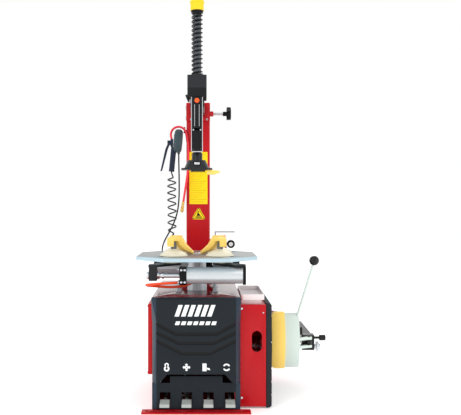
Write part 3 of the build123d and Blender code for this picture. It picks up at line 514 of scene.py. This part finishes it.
def make_handle_trim(finishes):
    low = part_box("handle_bracket")[0]
    bm = bmesh.new()
    for rise, inset in ((0.014, 0.0135), (0.103, 0.0085)):
        for x in (-0.0175, 0.0175):
            bolt_head(bm, (x, low.y + inset, low.z + rise), (0, -1, 0), 0.0048, 0.005)
    new_piece("handle_bolts", bm, finishes["polished_steel"], "shaft")
    grip_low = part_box("handle_grip")[0]
    half = 0.0012
    bm = bmesh.new()
    for x in (-0.011, 0.011):
        outline = [(x - half, STRIP_LOW), (x + half, STRIP_LOW),
                   (x + half, STRIP_HIGH), (x - half, STRIP_HIGH)]
        prism(bm, outline, lambda a, b, d: (a, grip_low.y + 0.0008 + d, b), 0.0022)
    new_piece("handle_strips", bm, finishes["polished_steel"], "shaft")


# --- labels, marks and pictograms ---
def front_mapper(y, lift):
    """Outline in X and Z on a face that looks at the operator, raised by lift."""
    return lambda a, b, d: (a, y - d * lift, b)


def slanted(x0, x1, z0, z1, lean=0.35):
    shift = (z1 - z0) * lean
    return [(x0, z0), (x1, z0), (x1 + shift, z1), (x0 + shift, z1)]


def strip(points, half):
    """Outline of a strip along points, with mitred corners."""
    left, right = [], []
    for k, (a, b) in enumerate(points):
        before, after = points[max(k - 1, 0)], points[min(k + 1, len(points) - 1)]
        run_in = Vector((a - before[0], b - before[1])).normalized() if k else None
        run_out = Vector((after[0] - a, after[1] - b)).normalized() if k < len(points) - 1 else None
        along = ((run_in or run_out) + (run_out or run_in)).normalized()
        reach = half / max(0.3, along.dot(run_out or run_in))
        left.append((a - along.y * reach, b + along.x * reach))
        right.append((a + along.y * reach, b - along.x * reach))
    return left + list(reversed(right))


def make_groove_shade_strips(mat):
    """Painted shade: dark strips on the floors of the cover's three bent grooves, standing in for the shade
    in the recesses.
    """
    floor_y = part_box("front_cover")[0].y + GROOVE_DEPTH
    bm = bmesh.new()
    for level, end, bend in GROOVES:
        path = [(-GROOVE_END, end), (-bend, level), (bend, level), (GROOVE_END, end)]
        prism(bm, strip(path, GROOVE_HALF), front_mapper(floor_y + 0.0002, 1), 0.0016)
    new_piece("groove_shade_strips", bm, mat, "frame", 30)


def make_cover_marks(mat):
    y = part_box("front_cover")[0].y
    put = front_mapper(y + 0.0002, 1)
    bm = bmesh.new()
    thick = 0.0012
    for k in range(6):
        x0 = -0.096 + 0.029 * k
        prism(bm, slanted(x0, x0 + 0.019, 0.434, 0.485), put, thick)
    for k in range(7):
        x0 = -0.095 + 0.027 * k
        prism(bm, slanted(x0, x0 + 0.019, 0.396, 0.412), put, thick)
    icon_z = 0.208
    prism(bm, band(-0.131, icon_z + 0.010, 0.0095, 0.0045, -60, 240), put, thick)
    prism(bm, band(-0.131, icon_z - 0.006, 0.0125, 0.0055, 110, 430), put, thick)
    arm, half = 0.017, 0.0045
    for turn in range(4):
        c, s = math.cos(turn * math.pi / 2), math.sin(turn * math.pi / 2)
        leaf = [(0.002, -half), (arm - 0.005, -half), (arm - 0.005, -half * 1.6), (arm, 0),
                (arm - 0.005, half * 1.6), (arm - 0.005, half), (0.002, half)]
        prism(bm, [(-0.043 + a * c - b * s, icon_z + a * s + b * c) for a, b in leaf], put, thick)
    prism(bm, [(0.028, icon_z - 0.017), (0.046, icon_z - 0.017), (0.046, icon_z + 0.017),
               (0.028, icon_z + 0.017)], put, thick)
    prism(bm, [(0.0475, icon_z - 0.009), (0.062, icon_z - 0.013), (0.060, icon_z - 0.004),
               (0.0475, icon_z - 0.002)], put, thick)
    for start in (25, 205):
        prism(bm, band(0.135, icon_z, 0.0165, 0.010, start, start + 130), put, thick)
    new_piece("cover_marks", bm, mat, "frame", 30)


def make_column_label(yellow, lines, black):
    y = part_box("column_post")[0].y
    x0, x1, z0, z1 = -0.048, 0.052, 0.937, 1.226
    bm = bmesh.new()
    prism(bm, [(x0, z0), (x1, z0), (x1, z1), (x0, z1)], front_mapper(y, 1), 0.0006)
    new_piece("column_label", bm, yellow, "column", 30)
    bm = bmesh.new()
    for k in range(22):
        z = z1 - 0.014 - k * 0.0124
        right = x1 - 0.008 - 0.012 * ((k * 5) % 4)
        prism(bm, [(x0 + 0.008, z - 0.0026), (right, z - 0.0026), (right, z), (x0 + 0.008, z)],
              front_mapper(y - 0.0006, 1), 0.0003)
    new_piece("label_rules", bm, lines, "column", 30)
    cx, cz, r = 0.003, 0.876, 0.047
    bm = bmesh.new()
    sign = [(cx + r * math.sin(math.radians(t)), cz + r * math.cos(math.radians(t))) for t in (0, 120, 240)]
    prism(bm, rounded_triangle(sign, 0.16), front_mapper(y, 1), 0.0006)
    new_piece("sign_plate", bm, yellow, "column", 30)
    bm = bmesh.new()
    inner = [(cx + (a - cx) * 0.86, cz + (b - cz) * 0.86) for a, b in sign]
    core = [(cx + (a - cx) * 0.74, cz + (b - cz) * 0.74) for a, b in sign]
    for k in range(3):
        j = (k + 1) % 3
        prism(bm, [inner[k], inner[j], core[j], core[k]], front_mapper(y - 0.0006, 1), 0.0003)
    prism(bm, [(cx - 0.018, cz - 0.014), (cx + 0.018, cz - 0.014), (cx + 0.018, cz - 0.008),
               (cx - 0.018, cz - 0.008)], front_mapper(y - 0.0006, 1), 0.0003)
    prism(bm, [(cx - 0.005, cz + 0.018), (cx - 0.012, cz - 0.006), (cx + 0.012, cz - 0.004)],
          front_mapper(y - 0.0006, 1), 0.0003)
    prism(bm, band(cx, cz + 0.019, 0.0035, 0.0003, 0, 360, 12), front_mapper(y - 0.0006, 1), 0.0003)
    new_piece("sign_mark", bm, black, "column", 30)


def rounded_triangle(corners, cut):
    """Triangle whose corners are clipped by a share of each side."""
    out = []
    for k in range(3):
        here, before, after = corners[k], corners[k - 1], corners[(k + 1) % 3]
        for other, share in ((before, cut), (before, cut * 0.45), (after, cut * 0.45), (after, cut)):
            pull = 0.92 if share < cut * 0.9 else 1.0
            a = here[0] + (other[0] - here[0]) * share
            b = here[1] + (other[1] - here[1]) * share
            centre = (sum(c[0] for c in corners) / 3, sum(c[1] for c in corners) / 3)
            out.append((centre[0] + (a - centre[0]) * pull, centre[1] + (b - centre[1]) * pull))
    return out


# --- gauges and small hardware ---
def make_dial(name, centre, direction, r, body, white, dark, steel, face):
    u, v, w = axes_for(direction)
    centre = Vector(centre)
    bm = bmesh.new()
    lathe(bm, centre, direction, [(0, 0.0002), (r * face, 0.0002), (r * face, 0.0010), (0, 0.0010)], 48)
    new_piece(name + "_face", bm, white, body)
    bm = bmesh.new()
    inner = r * (face - 0.02)
    ring = [(inner, 0.0), (inner, 0.0022), (r * 0.92, 0.0034), (r, 0.002), (r, 0.0)]
    lathe(bm, centre, direction, ring, 48)
    new_piece(name + "_rim", bm, steel, body)
    bm = bmesh.new()
    for k in range(11):
        turn = math.radians(-40 + 26 * k)
        d, e = u * math.cos(turn) + v * math.sin(turn), v * math.cos(turn) - u * math.sin(turn)
        long = 0.14 if k % 5 == 0 else 0.08
        tip = face - 0.06
        prism(bm, [((tip - long) * r, -0.012 * r), (tip * r, -0.012 * r), (tip * r, 0.022 * r),
                   ((tip - long) * r, 0.022 * r)],
              lambda a, b, h: centre + d * a + e * b + w * (0.0010 + h), 0.0002)
    d, e = u * math.cos(0.7) + v * math.sin(0.7), v * math.cos(0.7) - u * math.sin(0.7)
    tip = (face - 0.2) * r
    prism(bm, [(-0.15 * r, -0.035 * r), (tip, -0.006 * r), (tip, 0.006 * r), (-0.15 * r, 0.035 * r)],
          lambda a, b, h: centre + d * a + e * b + w * (0.0014 + h), 0.0003)
    lathe(bm, centre, direction, [(0, 0.001), (0.09 * r, 0.001), (0.07 * r, 0.0024), (0, 0.0024)], 20)
    new_piece(name + "_needle", bm, dark, body)


def make_hardware(finishes):
    steel = finishes["polished_steel"]
    for number, sign in ((1, 1), (2, -1)):
        low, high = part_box(f"clamp_cylinder_{number}")
        cy, cz = (low.y + high.y) / 2, (low.z + high.z) / 2
        cap_x = low.x if sign > 0 else high.x
        bm = bmesh.new()
        for dy in (-0.030, 0.030):
            for dz in (-0.030, 0.030):
                bolt_head(bm, (cap_x, cy + dy, cz + dz), (-sign, 0, 0), 0.006, 0.004)
        for x in (cap_x + sign * 0.012, cap_x + sign * 0.028):
            for dz in (-0.028, 0.028):
                bolt_head(bm, (x, cy - sign * 0.040, cz + dz), (0, -sign, 0), 0.0052, 0.0022)
        new_piece(f"cylinder_bolts_{number}", bm, steel, f"jaw_{2 * number - 1}")
    low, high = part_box("side_housing")
    bm = bmesh.new()
    for z in (0.456, 0.049):
        bolt_head(bm, (0.207, low.y, z), (0, -1, 0), 0.0055, 0.0035)
    bolt_head(bm, (0.306, low.y, 0.437), (0, -1, 0), 0.0035, 0.002)
    pad_low, pad_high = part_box("wheel_rest_pad")
    for y in (pad_low.y + 0.03, pad_high.y - 0.03):
        for z in (pad_low.z + 0.09, pad_high.z - 0.05):
            bolt_head(bm, (pad_high.x, y, z), (1, 0, 0), 0.008, 0.003)
    new_piece("housing_bolts", bm, steel, "frame")
    low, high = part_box("arm_sleeve")
    bm = bmesh.new()
    for x in (-0.040, 0.049):
        bolt_head(bm, (x, low.y, low.z + 0.008), (0, -1, 0), 0.006, 0.004)
    for z in (low.z + 0.02, high.z - 0.02):
        for y in (low.y + 0.03, high.y - 0.03):
            washer_bolt(bm, (low.x, y, z), (-1, 0, 0), 0.007, 0.006)
    new_piece("sleeve_bolts", bm, steel, "column")
    bm = bmesh.new()
    pin_x, pin_y, pin_z = TILT_PIN
    for way in (-1, 1):
        washer_bolt(bm, (way * pin_x, pin_y, pin_z), (way, 0, 0), 0.013, 0.010)
    new_piece("tilt_pin_nuts", bm, steel, "frame")
    bm = bmesh.new()
    for z, way in BEAD_NUTS_Z:
        washer_bolt(bm, (*BEAD_PIN, z), (0, 0, way), 0.013, 0.008)
    new_piece("bead_pin_nuts", bm, steel, "frame")
    bm = bmesh.new()
    washer_bolt(bm, BEAD_ROD_END, (1, 0, 0), 0.014, 0.010)
    new_piece("bead_rod_nut", bm, steel, "bead_rod")
    make_table_boss(steel)
    make_lever_ball(finishes["black_paint"], finishes["white_paint"])


def make_lever_ball(mat, pale):
    """Glossy ball and painted sleeve over the CAD ball and rod of the blade's lever."""
    steps = 20
    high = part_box("bead_blade")[1]
    centre = (high.x - BALL_INSET, BALL_Y, high.z - BALL_INSET)
    turns = [math.pi * k / steps for k in range(steps + 1)]
    bm = bmesh.new()
    lathe(bm, centre, (0.28, -0.1, 1), [(BALL_R * math.sin(t), -BALL_R * math.cos(t)) for t in turns], 40)
    new_piece("lever_ball", bm, mat, "bead_blade", 60)
    run = Vector(LEVER_TIP) - Vector(LEVER_FOOT)
    bm = bmesh.new()
    lathe(bm, LEVER_FOOT, run, [(LEVER_R, 0), (LEVER_R, run.length)], 24)
    new_piece("lever_sleeve", bm, pale, "bead_blade", 60)


def make_table_boss(steel):
    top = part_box("turntable_hub")[1].z
    rise, bolt_r = 0.0035, 0.010
    bm = bmesh.new()
    lathe(bm, (0, 0, top), (0, 0, 1), [(0.0185, 0), (0.0185, 0.002), (0.016, rise), (0, rise)], 40)
    for k in range(3):
        turn = math.tau * k / 3
        place = (bolt_r * math.cos(turn), bolt_r * math.sin(turn), top + rise)
        bolt_head(bm, place, (0, 0, 1), 0.003, 0.002)
    new_piece("table_centre_cap", bm, steel, "turntable")


def make_scale_marks(dark):
    """Size marks along each jaw slot: short lines cut in the plate's top."""
    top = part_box("turntable_plate")[1].z
    bm = bmesh.new()
    for k in range(4):
        turn = math.radians(45 + 90 * k)
        d, e = Vector((math.cos(turn), math.sin(turn), 0)), Vector((-math.sin(turn), math.cos(turn), 0))
        for step in range(9):
            r = 0.110 + 0.020 * step
            long = 0.012 if step % 2 == 0 else 0.007
            prism(bm, [(r, 0.023), (r + 0.0012, 0.023), (r + 0.0012, 0.023 + long), (r, 0.023 + long)],
                  lambda a, b, h: d * a + e * b + Vector((0, 0, top + h)), 0.0003)
    new_piece("table_scale_marks", bm, dark, "turntable", 30)


def main():
    make_camera()
    finishes, special = make_finishes()
    make_whip_hose(finishes["red_hose"])
    make_gauge_hose(finishes["black_hose"])
    make_curly_hose(finishes["black_hose"])
    make_table_hose(finishes["orange_hose"])
    make_studio()
    for name in nodes:
        dress_node(name, finishes, special)
    make_spring(finishes["black_paint"])
    make_handle_trim(finishes)
    white = surface("mark_white", (244, 246, 246), 0.4, vary=0.02, bump=0)
    label = surface("label_yellow", (250, 216, 20), 0.4, vary=0.03, bump=0.03)
    rules = surface("label_rule", (214, 176, 10), 0.45, vary=0.05, bump=0)
    ink = surface("sign_black", (30, 28, 20), 0.45, vary=0.05, bump=0)
    make_cover_marks(white)
    make_column_label(label, rules, ink)
    gauge_low, gauge_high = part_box("frl_gauge")
    make_dial("air_gauge", (gauge_high.x - 0.0225, gauge_low.y, AIR_DIAL_Z), (0, -1, 0), AIR_DIAL_R, "column",
              white, ink, finishes["black_plastic"], AIR_DIAL_FACE)
    make_dial("gun_dial", GUN_DIAL, GUN_DIAL_WAY, GUN_DIAL_R, "column", white, ink,
              finishes["polished_steel"], GUN_DIAL_FACE)
    make_groove_shade_strips(finishes["black_plastic"])
    make_hardware(finishes)
    make_scale_marks(ink)


main()
